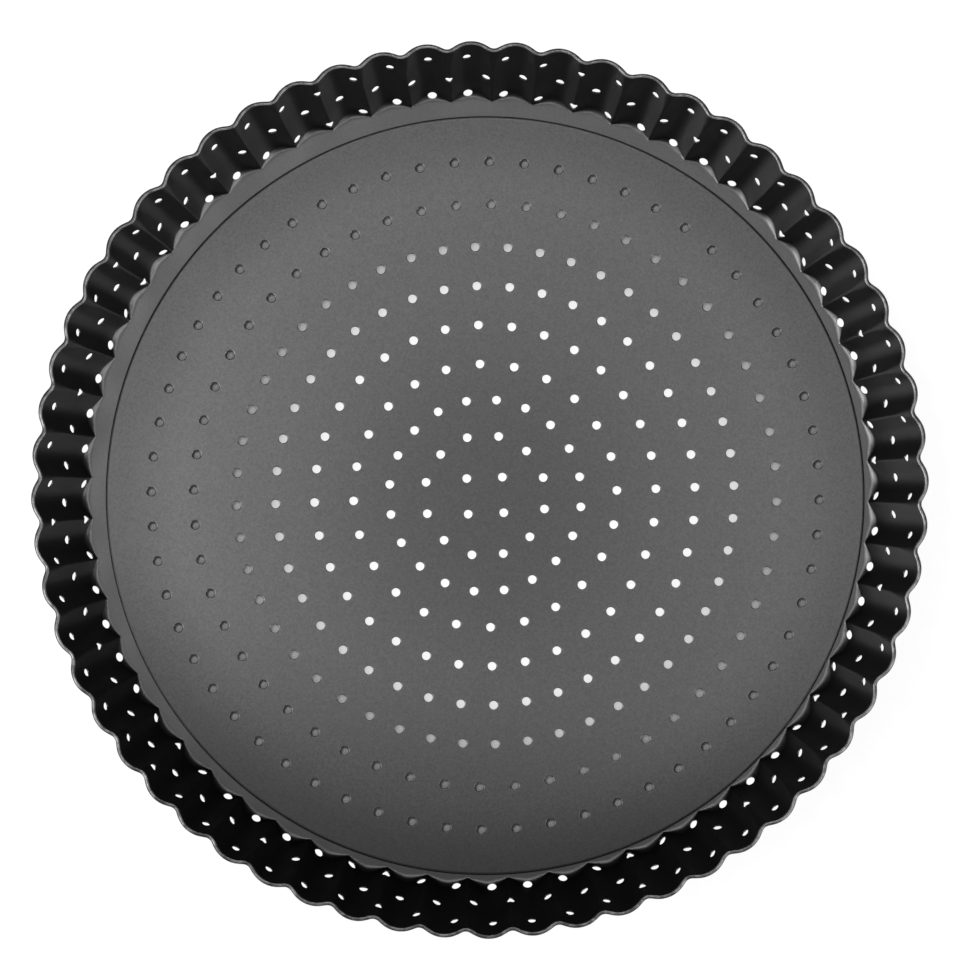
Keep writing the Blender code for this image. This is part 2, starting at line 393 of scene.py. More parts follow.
    def holes_between(self, start: float, end: float) -> list[WallHole]:
        """Places the holes of a stretch of the wall.

        A row that was punched round in the blank lies higher at a cusp than at a crest, because
        the ledge is narrower there.

        Args:
            start: the stretch's first angle.
            end: its last angle.

        Returns:
            The holes, row by row.
        """
        rises = np.linspace(self.foot_row_rise, self.wall_length - self.rim_row_drop, self.hole_rows)
        diameters = np.linspace(self.foot_row_hole, self.rim_row_hole, self.hole_rows)
        holes = []
        for row, (rise, diameter) in enumerate(zip(rises, diameters)):
            first = self.first_hole + row % 2 / 2 * self.hole_pitch
            ends = [math.ceil((side - first) / self.hole_pitch) for side in (start, end)]
            for number in range(*ends):
                angle = first + number * self.hole_pitch
                narrowing = self.foot_flute.depth * (1 - self.bulge(np.array(angle)))
                lift = narrowing * (1 - rise / self.wall_length)
                holes.append(WallHole(angle, float(rise + lift) / self.wall_length, diameter / 2))
        return holes

    def hole_outline(self, hole: WallHole, distance: float) -> Points:
        """Draws a line round a hole, at a distance from its centre measured on the sheet.

        Args:
            hole: the hole.
            distance: the distance from its centre.

        Returns:
            The line's corners as (angle, share of the way up the wall).
        """
        angles = hole.angle + np.linspace(-TRACE_REACH, TRACE_REACH, 2 * TRACE_STEPS + 1)
        line = self.wall(angles, np.full_like(angles, hole.share))
        travelled = np.concatenate([[0], np.cumsum(np.linalg.norm(np.diff(line, axis=0), axis=1))])
        travelled -= travelled[TRACE_STEPS]
        here = np.array([hole.angle])
        there = np.array([hole.share])
        _, along, up = self.wall_frame(here, there)
        step = 1e-4
        rising = (self.wall(here, there + step) - self.wall(here, there - step))[0] / (2 * step)
        turns = math.tau * np.arange(self.hole_corners) / self.hole_corners
        climbed = distance * np.sin(turns) / (rising @ up[0])
        drift = climbed * (rising @ along[0])
        across = distance * np.cos(turns) - drift
        return np.column_stack([np.interp(across, travelled, angles), hole.share + climbed])

    def column_angles(self) -> np.ndarray:
        """Spaces the columns, closer towards the cusps, from one that no hole comes near.

        Returns:
            The angles of all columns, in order.
        """
        steps = np.linspace(0, 1, self.columns_per_half_flute + 1)
        drawn_in = (1 - self.even_spacing) * np.sin(math.pi / 2 * steps)
        half = 0.5 * (self.even_spacing * steps + drawn_in)
        flute = np.concatenate([half[:-1], 1 - half[:0:-1]])
        turns = (np.arange(self.flutes)[:, None] + flute[None, :]).ravel()
        angles = self.first_crest + math.tau * turns / self.flutes
        beside = (angles - self.first_hole) / self.hole_pitch
        gaps = [np.abs((beside - offset) % 1 - 0.5) for offset in (0, 0.5)]
        first = int(np.argmin(np.maximum.reduce(gaps)))
        return np.concatenate([angles[first:], angles[:first] + math.tau])

    def punched_sector(
        self, angles: np.ndarray, holes: list[WallHole]
    ) -> tuple[Points, np.ndarray, list[Row], np.ndarray]:
        """Punches the holes of one sector of the sheet, which repeats round the ring.

        Args:
            angles: the sector's columns, both sides included.
            holes: the sector's holes.

        Returns:
            Corners as (angle, share), triangles, loops round the holes, and the numbers of the
            grid's corners by row and column, of which only those on its four sides are all kept.
        """
        reach = self.bend_reach / self.wall_length
        shares = np.concatenate([np.linspace(-reach, reach, self.bend_rows),
                                 np.linspace(reach, 1, self.wall_rows)[1:]])
        grid = np.stack(np.meshgrid(angles, shares), axis=-1).reshape(-1, 2)
        number = np.arange(len(grid)).reshape(len(shares), len(angles))
        blank = np.array([self.rim_diameter / 2, self.wall_length])
        keep = np.ones(len(grid), bool)
        lines = []
        guards = []
        for hole in holes:
            lines.append(self.hole_outline(hole, hole.radius + self.edge.lip))
            guards.append(self.hole_outline(hole, hole.radius + GUARD_LIPS * self.edge.lip))
            bare = self.hole_outline(hole, hole.radius + BARE_LIPS * self.edge.lip)
            keep &= outside(grid * blank, bare * blank)
        for side in (number[0], number[-1], number[:, 0], number[:, -1]):
            keep[side] = True
        corners = [grid[keep]] + lines + guards
        firsts = np.cumsum([0] + [len(block) for block in corners])
        loops = [np.arange(firsts[i + 1], firsts[i + 2]) for i in range(len(lines))]
        number = (np.cumsum(keep) - 1)[number]
        boundary = np.concatenate([number[0], number[1:-1, -1], number[-1, ::-1], number[-2:0:-1, 0]])
        points = np.concatenate(corners)
        return points, punch(points * blank, loops, boundary), loops, number

    def add_band(self, mesh: SheetMesh) -> tuple[list[Row], list[Row]]:
        """Adds the bend and the wall to both faces, with the rounded edges of the holes.

        Args:
            mesh: the mesh to add to.

        Returns:
            The corners of the band's lower edge and of its upper edge, each on both faces.
        """
        sector = self.columns[: len(self.columns) // self.repeats + 1]
        holes = self.holes_between(sector[0], sector[-1])
        corners, triangles, loops, number = self.punched_sector(sector, holes)
        own = np.ones(len(corners), bool)
        own[number[:, -1]] = False
        total = int(own.sum())
        index = np.zeros((self.repeats, len(corners)), int)
        index[:, own] = np.arange(self.repeats * total).reshape(self.repeats, total)
        index[:, number[:, -1]] = np.roll(index[:, number[:, 0]], -1, axis=0)
        angle = (corners[own, 0] + self.spins[:, None]).ravel()
        share = np.tile(corners[own, 1], self.repeats)
        out, _, _ = self.wall_frame(angle, share)
        upper = self.wall(angle, share)
        faces = [mesh.add(upper, -out, self.wear_of_ridges(angle, share)),
                 mesh.add(upper + out * self.sheet, out)]
        for spun in index:
            mesh.add_triangles(faces[0][spun[triangles]][:, ::-1])
            mesh.add_triangles(faces[1][spun[triangles]])
        self.add_hole_edges(mesh, holes, *([face[index[:, loop]] for loop in loops] for face in faces))
        lower = [face[index[:, number[0, :-1]]].ravel() for face in faces]
        top = [face[index[:, number[-1, :-1]]].ravel() for face in faces]
        return lower, top

    def wear_of_ridges(self, angle: np.ndarray, share: np.ndarray) -> np.ndarray:
        """Works out how worn the cusps' ridges are on the upper face.

        Args:
            angle: angles round the ring.
            share: shares of the way up the wall.

        Returns:
            The wear, from 0 to 1.
        """
        turn = (angle - self.first_crest) / math.tau * self.flutes
        from_cusp = (0.5 - np.abs(turn - np.round(turn))) * math.pi * self.rim_diameter / self.flutes
        across = smooth(1 - from_cusp / self.foot_flute.cusp_radius)
        return self.ridge_wear * across * smooth(share / self.ridge_wear_fade)

    def add_hole_edges(
        self, mesh: SheetMesh, holes: list[WallHole], upper: list[Row], under: list[Row]
    ) -> None:
        """Adds the rounded edges of the holes between the two faces.

        Args:
            mesh: the mesh to add to.
            holes: the holes of a sector.
            upper: for each hole, its loops on the upper face in every sector.
            under: the same on the underside.
        """
        for hole, above, below in zip(holes, upper, under):
            loops = [above]
            for station in self.edge.stations(self.sheet)[1:-1]:
                outline = self.hole_outline(hole, hole.radius + station.inset)
                angle = (outline[:, 0] + self.spins[:, None]).ravel()
                share = np.tile(outline[:, 1], self.repeats)
                surface = self.wall(angle, share)
                out, _, _ = self.wall_frame(angle, share)
                centres = self.wall(hole.angle + self.spins, np.full_like(self.spins, hole.share))
                inwards = np.repeat(centres, len(outline), axis=0) - surface
                inwards -= out * (inwards * out).sum(axis=1, keepdims=True)
                inwards /= np.linalg.norm(inwards, axis=1, keepdims=True)
                normal = inwards * math.sin(station.turn) - out * math.cos(station.turn)
                worn = self.hole_wear * math.sin(station.turn)
                added = mesh.add(surface + out * station.depth, normal, worn)
                loops.append(added.reshape(self.repeats, -1))
            loops.append(below)
            for repeat in range(self.repeats):
                mesh.join([loop[repeat] for loop in loops])

    def add_rim(self, mesh: SheetMesh, upper: Row, under: Row) -> None:
        """Rolls the sheet's upper edge outwards into the rim's open tube.

        Args:
            mesh: the mesh to add to.
            upper: the corners of the wall's upper edge on the upper face.
            under: the same on the underside.
        """
        ones = np.ones_like(self.columns)
        out, _, up = self.wall_frame(self.columns, ones)
        axis = self.wall(self.columns, ones) + out * self.curl_radius
        axis[:, 2] = self.height - self.curl_radius

        def away(turn: float) -> Points:
            """Points from the roll's axis to its outside, at an angle round it."""
            return up * math.sin(turn) - out * math.cos(turn)

        def facing(turn: float, tilt: float) -> Points:
            """Gives a row's normals, tilted from the roll's outside towards its cut end."""
            return away(turn) * math.cos(tilt) + away(turn + math.pi / 2) * math.sin(tilt)

        middle = self.curl_radius - self.sheet / 2
        last = self.curl_turn - self.edge.lip / middle
        rows = [upper]
        for turn in np.linspace(0, last, self.roll_rows + 1)[1:-1]:
            worn = max(0.0, math.sin(turn))
            rows.append(mesh.add(axis + away(turn) * self.curl_radius, away(turn), worn))
        for station in self.edge.stations(self.sheet):
            turn = self.curl_turn - station.inset / middle
            points = axis + away(turn) * (self.curl_radius - station.depth)
            rows.append(mesh.add(points, facing(turn, station.turn), self.roll_end_wear))
        for turn in np.linspace(last, 0, self.roll_rows_inside + 1)[1:-1]:
            rows.append(mesh.add(axis + away(turn) * (self.curl_radius - self.sheet), -away(turn)))
        rows.append(under)
        mesh.join(rows)

    def add_ledge(self, mesh: SheetMesh, upper: Row, under: Row) -> None:
        """Adds the flat ledge with the rounded edge of its opening.

        Args:
            mesh: the mesh to add to.
            upper: the corners where the bend starts on the upper face.
            under: the same on the underside.
        """
        side = np.column_stack([np.cos(self.columns), np.sin(self.columns), np.zeros_like(self.columns)])
        upright = np.tile([0.0, 0.0, 1.0], (len(self.columns), 1))
        first = self.opening + self.edge.lip
        span = self.foot(self.columns) - self.bend_reach - first
        rows = {}
        for height, normal in ((self.sheet, upright), (0.0, -upright)):
            radii = [first + span * share for share in np.linspace(0, 1, self.ledge_rows + 1)[:-1]]
            rows[height] = [
                mesh.add(side * radius[:, None] + upright * height, normal) for radius in radii
            ]
        lip = []
        for station in self.edge.stations(self.sheet)[1:-1]:
            points = side * (self.opening + station.inset) + upright * (self.sheet - station.depth)
            normals = upright * math.cos(station.turn) - side * math.sin(station.turn)
            lip.append(mesh.add(points, normals, math.sin(station.turn)))
        mesh.join([upper] + rows[self.sheet][::-1] + lip + rows[0.0] + [under])

    def build(self) -> bpy.types.Object:
        """Builds the ring in place of its plain solid.

        Returns:
            The ring's object.
        """
        mesh = SheetMesh()
        lower, top = self.add_band(mesh)
        self.add_rim(mesh, *top)
        self.add_ledge(mesh, *lower)
        ring = mesh.build("ring_fluted_wall", self.material)
        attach(ring, self.body)
        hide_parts(self.node)
        return ring


@dataclass(frozen=True)
class BaseHoleRow:
    """One ring of holes in the base."""

    count: int
    step: float  # out from the row before
    half_step_round: bool  # starts half a hole's step round


@dataclass(frozen=True)
class Cut:
    """A round cut through the base: one of its holes, or its own edge."""

    x: float
    y: float
    radius: float
    corners: int
    sheet_side: int  # 1 where the sheet lies outside the cut, -1 where it lies inside
    edge: CutEdge

    def line(self, inset: float) -> tuple[Points, Points]:
        """Draws the cut's outline, set back into the sheet.

        Args:
            inset: how far it is set back.

        Returns:
            The outline's corners, and the directions out of the sheet there.
        """
        turns = math.tau * np.arange(self.corners) / self.corners
        side = np.column_stack([np.cos(turns), np.sin(turns)])
        radius = self.radius + self.sheet_side * inset
        return np.array([self.x, self.y]) + side * radius, side * -self.sheet_side


@dataclass
class LooseBase:
    """The flat perforated disc that lies on the ledge."""

    material: bpy.types.Material
    body: str = "base"
    node: str = "loose_base"
    slot: str = "base_coating"
    turn: float = math.radians(2.3)
    hole_radius: float = 0.0012
    hole_edge: CutEdge = CutEdge(lip=0.00022, spread=1.6)
    rim_edge: CutEdge = CutEdge(lip=0.00029, spread=3.0, facets=5)
    rows: tuple[BaseHoleRow, ...] = (
        BaseHoleRow(4, 0.0071, True),
        BaseHoleRow(12, 0.0100, True),
        BaseHoleRow(20, 0.0100, True),
        BaseHoleRow(24, 0.0100, False),
        BaseHoleRow(32, 0.0110, False),
        BaseHoleRow(40, 0.0110, False),
        BaseHoleRow(48, 0.0110, False),
        BaseHoleRow(52, 0.0120, True),
        BaseHoleRow(60, 0.0120, True),
    )
    rim_corners: int = 360
    hole_corners: int = 32

    def __post_init__(self) -> None:
        """Takes the disc's place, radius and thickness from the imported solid."""
        low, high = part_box(self.node)
        self.centre = (low + high) / 2
        self.radius = (high.x - low.x) / 2
        self.top = high.z
        self.sheet = high.z - low.z

    def cuts(self) -> list[Cut]:
        """Places the disc's own edge and its holes, from the middle outwards.

        Returns:
            The cuts, the disc's edge first.
        """
        cuts = [Cut(0.0, 0.0, self.radius, self.rim_corners, -1, self.rim_edge)]
        radius = 0.0
        for row in self.rows:
            radius += row.step
            for hole in range(row.count):
                angle = self.turn + math.tau * (hole + row.half_step_round / 2) / row.count
                place = (radius * math.cos(angle), radius * math.sin(angle))
                cuts.append(Cut(*place, self.hole_radius, self.hole_corners, 1, self.hole_edge))
        return cuts

    def build(self) -> bpy.types.Object:
        """Builds the disc in place of its plain solid.

        Returns:
            The disc's object.
        """
        mesh = SheetMesh()
        cuts = self.cuts()
        outlines = [cut.line(cut.edge.inset)[0] for cut in cuts]
        firsts = np.cumsum([0] + [len(outline) for outline in outlines])
        loops = [np.arange(a, b) for a, b in zip(firsts, firsts[1:])]
        flat = np.concatenate(outlines)
        triangles = punch(flat, loops[1:], loops[0])
        centre = np.array([self.centre.x, self.centre.y, self.top])
        upright = np.array([0.0, 0.0, 1.0])
        faces = []
        for depth, normal in ((0.0, upright), (self.sheet, -upright)):
            points = np.column_stack([flat, np.full(len(flat), -depth)]) + centre
            faces.append(mesh.add(points, np.tile(normal, (len(flat), 1))))
        mesh.add_triangles(faces[0][triangles])
        mesh.add_triangles(faces[1][triangles][:, ::-1])
        for cut, corners in zip(cuts, loops):
            rows = [faces[0][corners]]
            for station in cut.edge.stations(self.sheet)[1:-1]:
                outline, side = cut.line(station.inset)
                points = np.column_stack([outline, np.full(len(outline), -station.depth)]) + centre
                out = np.column_stack([side, np.zeros(len(side))])
                normals = upright * math.cos(station.turn) + out * math.sin(station.turn)
                rows.append(mesh.add(points, normals))
            rows.append(faces[1][corners])
            mesh.join(rows)
        base = mesh.build("base_perforated_disc", self.material)
        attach(base, self.body)
        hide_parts(self.node)
        return base


class NodeSheet:
    """Adds and links the nodes of one material or group."""

    def __init__(self, tree: bpy.types.NodeTree) -> None:
        """Works on a node tree."""
        self.tree = tree

    def add(
        self, kind: str, settings: dict[str, object] | None = None, **inputs: object
    ) -> bpy.types.Node:
        """Adds a node.

        Args:
            kind: the node's type.
            settings: properties to set on it.
            inputs: sockets or values for its inputs, by name with spaces as underscores.

        Returns:
            The node.
        """
        node = self.tree.nodes.new(kind)
        for name, value in (settings or {}).items():
            setattr(node, name, value)
        for name, value in inputs.items():
            self.feed(node.inputs[name.replace("_", " ")], value)
        return node

    def feed(self, socket: bpy.types.NodeSocket, value: object) -> None:
        """Links a socket, or sets its value.

        Args:
            socket: the input.
            value: the output that it is linked to, or its value.
        """
        if isinstance(value, bpy.types.NodeSocket):
            self.tree.links.new(value, socket)
        else:
            socket.default_value = value

    def maths(
        self, operation: str, first: object, second: object = 0.0, third: object = 0.0
    ) -> bpy.types.NodeSocket:
        """Adds a sum of one to three terms.

        Args:
            operation: the Math node's operation.
            first: its first term, a socket or a value.
            second: its second term.
            third: its third term.

        Returns:
            The result's socket.
        """
        node = self.tree.nodes.new("ShaderNodeMath")
        node.operation = operation
        for socket, value in zip(node.inputs, (first, second, third)):
            self.feed(socket, value)
        return node.outputs[0]

    def grey(self, tone: object) -> bpy.types.NodeSocket:
        """Makes a grey from a tone."""
        return self.add("ShaderNodeCombineColor", Red=tone, Green=tone, Blue=tone).outputs["Color"]

    def noise(self, place: object, scale: object, detail: float) -> bpy.types.NodeSocket:
        """Adds noise of a scale and gives its value, from 0 to 1."""
        return self.add("ShaderNodeTexNoise", Vector=place, Scale=scale, Detail=detail).outputs["Fac"]

    def from_centre(self, x: float, y: float) -> bpy.types.NodeSocket:
        """Measures the distance from an upright axis, in the object's own coordinates.

        Args:
            x: where the axis stands, from left to right.
            y: where it stands, from front to back.

        Returns:
            The distance's socket.
        """
        place = self.add("ShaderNodeTexCoord").outputs["Object"]
        split = self.add("ShaderNodeSeparateXYZ", Vector=place)
        across = self.maths("SUBTRACT", split.outputs["X"], x)
        away = self.maths("SUBTRACT", split.outputs["Y"], y)
        squares = [self.maths("MULTIPLY", side, side) for side in (across, away)]
        return self.maths("SQRT", self.maths("ADD", *squares))

    def ease(
        self, value: object, start: float, end: float, low: float, high: float
    ) -> bpy.types.NodeSocket:
        """Eases a result from low to high while a value goes from start to end.

        Args:
            value: the value's socket.
            start: where the change starts.
            end: where it ends.
            low: the result up to the start.
            high: the result from the end on.

        Returns:
            The result's socket.
        """
        node = self.add("ShaderNodeMapRange", {"interpolation_type": "SMOOTHSTEP"}, Value=value,
                        From_Min=start, From_Max=end, To_Min=low, To_Max=high)
        return node.outputs["Result"]


class CoatingEffects:
    """Node groups that both coatings share."""

    def __init__(self) -> None:
        """Builds the groups once."""
        self.grain = self.build_grain()
        self.wear = self.build_wear()

    @staticmethod
    def new_group(name: str, takes: dict[str, float], gives: tuple[str, ...]) -> bpy.types.NodeTree:
        """Starts a node group.

        Args:
            name: the group's name.
            takes: its inputs with their usual values.
            gives: its outputs.

        Returns:
            The group, with its input and output nodes.
        """
        group = bpy.data.node_groups.new(name, "ShaderNodeTree")
        for socket, value in takes.items():
            made = group.interface.new_socket(name=socket, in_out="INPUT", socket_type="NodeSocketFloat")
            made.default_value = value
        for socket in gives:
            group.interface.new_socket(name=socket, in_out="OUTPUT", socket_type="NodeSocketFloat")
        group.nodes.new("NodeGroupInput")
        group.nodes.new("NodeGroupOutput")
        return group

    def build_grain(self) -> bpy.types.NodeTree:
        """Builds the coating's sprayed grain, its slow clouds and the pressed sheet's unevenness.

        Returns:
            A group that gives a tone and a roughness around 1, and a height in metres.
        """
        takes = {"Grain": 1900.0, "Clouds": 28.0, "Dents": 90.0, "Contrast": 0.08,
                 "Cloud Contrast": 0.06, "Grain Height": 0.000003, "Dent Height": 0.0001}
        group = self.new_group("sprayed_grain", takes, ("Tone", "Gloss", "Height"))
        sheet = NodeSheet(group)
        given = group.nodes["Group Input"].outputs
        given_out = group.nodes["Group Output"].inputs
        place = sheet.add("ShaderNodeTexCoord").outputs["Object"]
        fine, slow, uneven = (
            sheet.noise(place, given[scale], detail)
            for scale, detail in (("Grain", 2.0), ("Clouds", 2.0), ("Dents", 0.0))
        )
        specks = sheet.maths("MULTIPLY", sheet.maths("SUBTRACT", fine, 0.5), given["Contrast"])
        clouds = sheet.maths("MULTIPLY", sheet.maths("SUBTRACT", slow, 0.5), given["Cloud Contrast"])
        sheet.feed(given_out["Tone"], sheet.maths("ADD", sheet.maths("ADD", specks, clouds), 1.0))
        sheet.feed(given_out["Gloss"], sheet.maths("SUBTRACT", 1.0, clouds))
        dents = sheet.maths("MULTIPLY", uneven, given["Dent Height"])
        sheet.feed(given_out["Height"], sheet.maths("MULTIPLY_ADD", fine, given["Grain Height"], dents))
        return group

    def build_wear(self) -> bpy.types.NodeTree:
        """Builds the broken-up rubbing of edges.

        Returns:
            A group that turns an edge's wear into a mask from 0 to 1.
        """
        group = self.new_group("rubbed_edges", {"Edge": 0.0, "Amount": 0.5, "Patches": 400.0}, ("Mask",))
        sheet = NodeSheet(group)
        given = group.nodes["Group Input"].outputs
        place = sheet.add("ShaderNodeTexCoord").outputs["Object"]
        patches = sheet.noise(place, given["Patches"], 3.0)
        broken = sheet.ease(patches, start=0.35, end=0.65, low=0.0, high=1.0)
        rubbed = sheet.maths("MULTIPLY", given["Edge"], broken)
        mask = sheet.maths("MULTIPLY", rubbed, given["Amount"])
        sheet.feed(group.nodes["Group Output"].inputs["Mask"], mask)
        return group


@dataclass(frozen=True)
class PaintedShading:
    """Painted light and shade: a slow change of tone with the distance from an upright axis, standing in
    for shadows and reflections.
    """

    x: float
    y: float
    start: float  # distance from the axis at which it starts
    end: float
    gain: float  # tone from the end on, as a share of the tone before the start


@dataclass(frozen=True)
class Crown:
    """The slight doming of a pressed disc, too flat to show but for its reflections."""

    x: float
    y: float
    radius: float
    slope: float  # at the radius


@dataclass(frozen=True)
class Coating:
    """A dark non-stick coating with metal flake, satin, over steel sheet."""

    name: str
    tone: float  # reflectance of the coating
    worn_tone: float  # where edges are rubbed
    roughness: float
    metallic: float
    grain_contrast: float
    cloud_contrast: float
    grain_height: float
    dent_height: float
    wear: float  # how much of an edge's wear shows
    # painted light and shade: tone changes that stand in for shadows and reflections
    painted_shading: tuple[PaintedShading, ...] = ()
    crown: Crown | None = None

    def build(self, effects: CoatingEffects) -> bpy.types.Material:
        """Builds the coating's material.

        Args:
            effects: the shared node groups.

        Returns:
            The material.
        """
        material = bpy.data.materials.new(self.name)
        material.use_nodes = True
        sheet = NodeSheet(material.node_tree)
        shader = material.node_tree.nodes["Principled BSDF"]
        grain = sheet.add("ShaderNodeGroup", {"node_tree": effects.grain}, Contrast=self.grain_contrast,
                          Cloud_Contrast=self.cloud_contrast, Grain_Height=self.grain_height,
                          Dent_Height=self.dent_height)
        edge = sheet.add("ShaderNodeAttribute", {"attribute_name": WEAR_ATTRIBUTE})
        wear = sheet.add("ShaderNodeGroup", {"node_tree": effects.wear}, Edge=edge.outputs["Fac"],
                         Amount=self.wear)
        tone = sheet.maths("MULTIPLY", grain.outputs["Tone"], self.tone)
        # painted light and shade: the tone is darkened or lightened with the distance from an axis
        for drift in self.painted_shading:
            distance = sheet.from_centre(drift.x, drift.y)
            change = sheet.ease(distance, drift.start, drift.end, 1.0, drift.gain)
            tone = sheet.maths("MULTIPLY", tone, change)
        rubbed = sheet.add("ShaderNodeMix", {"data_type": "FLOAT"}, Factor=wear.outputs["Mask"],
                           A=tone, B=self.worn_tone)
        sheet.feed(shader.inputs["Base Color"], sheet.grey(rubbed.outputs[0]))
        gloss = sheet.maths("MULTIPLY", grain.outputs["Gloss"], self.roughness)
        sheet.feed(shader.inputs["Roughness"], gloss)
        shader.inputs["Metallic"].default_value = self.metallic
        height = grain.outputs["Height"]
        if self.crown:
            distance = sheet.from_centre(self.crown.x, self.crown.y)
            fall = sheet.maths("MULTIPLY", distance, distance)
            curve = self.crown.slope / (2 * self.crown.radius)
            height = sheet.maths("MULTIPLY_ADD", fall, -curve, height)
        bump = sheet.add("ShaderNodeBump", Height=height, Distance=1.0)
        sheet.feed(shader.inputs["Normal"], bump.outputs["Normal"])
        return material


RING_COATING = Coating(
    "ring_coating",
    tone=0.083,
    worn_tone=0.3,
    roughness=0.33,
    metallic=1.0,
    grain_contrast=0.40,
    cloud_contrast=0.14,
    grain_height=0.000002,
    dent_height=0.00022,
    wear=0.4,
    # painted shadow: the ring is darker towards the front of the pan
    painted_shading=(PaintedShading(*FRONT_SHADOW_AXIS, start=0.262, end=0.312, gain=0.60),),
)
BASE_COATING = Coating(
    "base_coating",
    tone=0.077,
    worn_tone=0.3,
    roughness=0.33,
    metallic=0.9,
    grain_contrast=0.70,
    cloud_contrast=0.10,
    grain_height=0.000003,
    dent_height=0.00002,
    wear=0.3,
    painted_shading=(
        # painted reflection: the base is darker in the middle and lighter outwards
        PaintedShading(*BASE_CENTRE, start=0.008, end=0.062, gain=1.22),
        # painted shade: the base is darker towards its edge, where the wall shades it
        PaintedShading(*BASE_CENTRE, start=0.084, end=0.106, gain=0.74),
        # painted shadow: the base is darker towards the front of the pan
        PaintedShading(*FRONT_SHADOW_AXIS, start=0.248, end=0.306, gain=0.54),
        # painted shade: a dark line along the base's edge, in the seam between the base and the ledge
        PaintedShading(*BASE_CENTRE, start=0.1060, end=0.1064, gain=0.35),
    ),
    crown=Crown(*BASE_CENTRE, radius=0.107, slope=0.030),
)


@dataclass(frozen=True)
class Lamp:
    """A soft rectangular lamp that faces the pan."""

    name: str
    azimuth: float  # degrees anticlockwise from +X, seen from above
    elevation: float  # degrees above the floor
    width: float
    height: float
    radiance: float  # how bright its face is, where 1 is white
    distance: float = 2.2
    floor_only: bool = False

    def build(self, floor: bpy.types.Collection) -> None:
        """Adds the lamp, which the camera doesn't see.

        Args:
            floor: the collection that a lamp for the floor alone is linked to.
        """
        data = bpy.data.lights.new(self.name, "AREA")
        data.shape = "RECTANGLE"
        data.size = self.width
        data.size_y = self.height
        data.energy = self.radiance * LAMP_WATTS * self.width * self.height
        lamp = bpy.data.objects.new(self.name, data)
        azimuth = math.radians(self.azimuth)
        elevation = math.radians(self.elevation)
        side = self.distance * math.cos(elevation)
        up = self.distance * math.sin(elevation)
        lamp.location = (side * math.cos(azimuth), side * math.sin(azimuth), up)
        lamp.rotation_euler = (-lamp.location).to_track_quat("-Z", "Y").to_euler()
        lamp.visible_camera = False
        if self.floor_only:
            lamp.light_linking.receiver_collection = floor
        bpy.context.scene.collection.objects.link(lamp)


@dataclass(frozen=True)
class Shade:
    """The band of the floor that is shaded, under the outermost holes of the base.

    The band's inner edge is soft and round a place of its own. The shade is there only while
    something covers the floor closely, so it goes when the base is lifted.
    """

    inner_centre: tuple[float, float] = (0.009, 0.0)
    inner_width: float = 0.038  # over which the shade comes in
    outer_centre: tuple[float, float] = (0.002, -0.001)
    outer_start: float = 0.099  # where it starts to go
    outer_end: float = 0.108
    cover_reach: float = 0.004  # what lies further above the floor doesn't cover it
    covered: float = 0.82  # open share of the sky up to which the floor counts as covered
    bare: float = 0.99  # and from which it counts as bare
    samples: int = 5

    def apply(self, sheet: NodeSheet, start: float, high: float, low: float) -> bpy.types.NodeSocket:
        """Takes a value of the floor down to another in the band.

        Args:
            sheet: the floor's nodes.
            start: how far from the middle the value starts to fall.
            high: the value outside the band.
            low: the value in it.

        Returns:
            The value's socket.
        """
        inwards = sheet.from_centre(*self.inner_centre)
        inner = sheet.ease(inwards, start, start + self.inner_width, high, low)
        outwards = sheet.from_centre(*self.outer_centre)
        outer = sheet.ease(outwards, self.outer_start, self.outer_end, low, high)
        cover = sheet.add("ShaderNodeAmbientOcclusion", {"samples": self.samples},
                          Distance=self.cover_reach)
        bare = sheet.ease(cover.outputs["AO"], self.covered, self.bare, low, high)
        return sheet.maths("MAXIMUM", sheet.maths("MAXIMUM", inner, outer), bare)


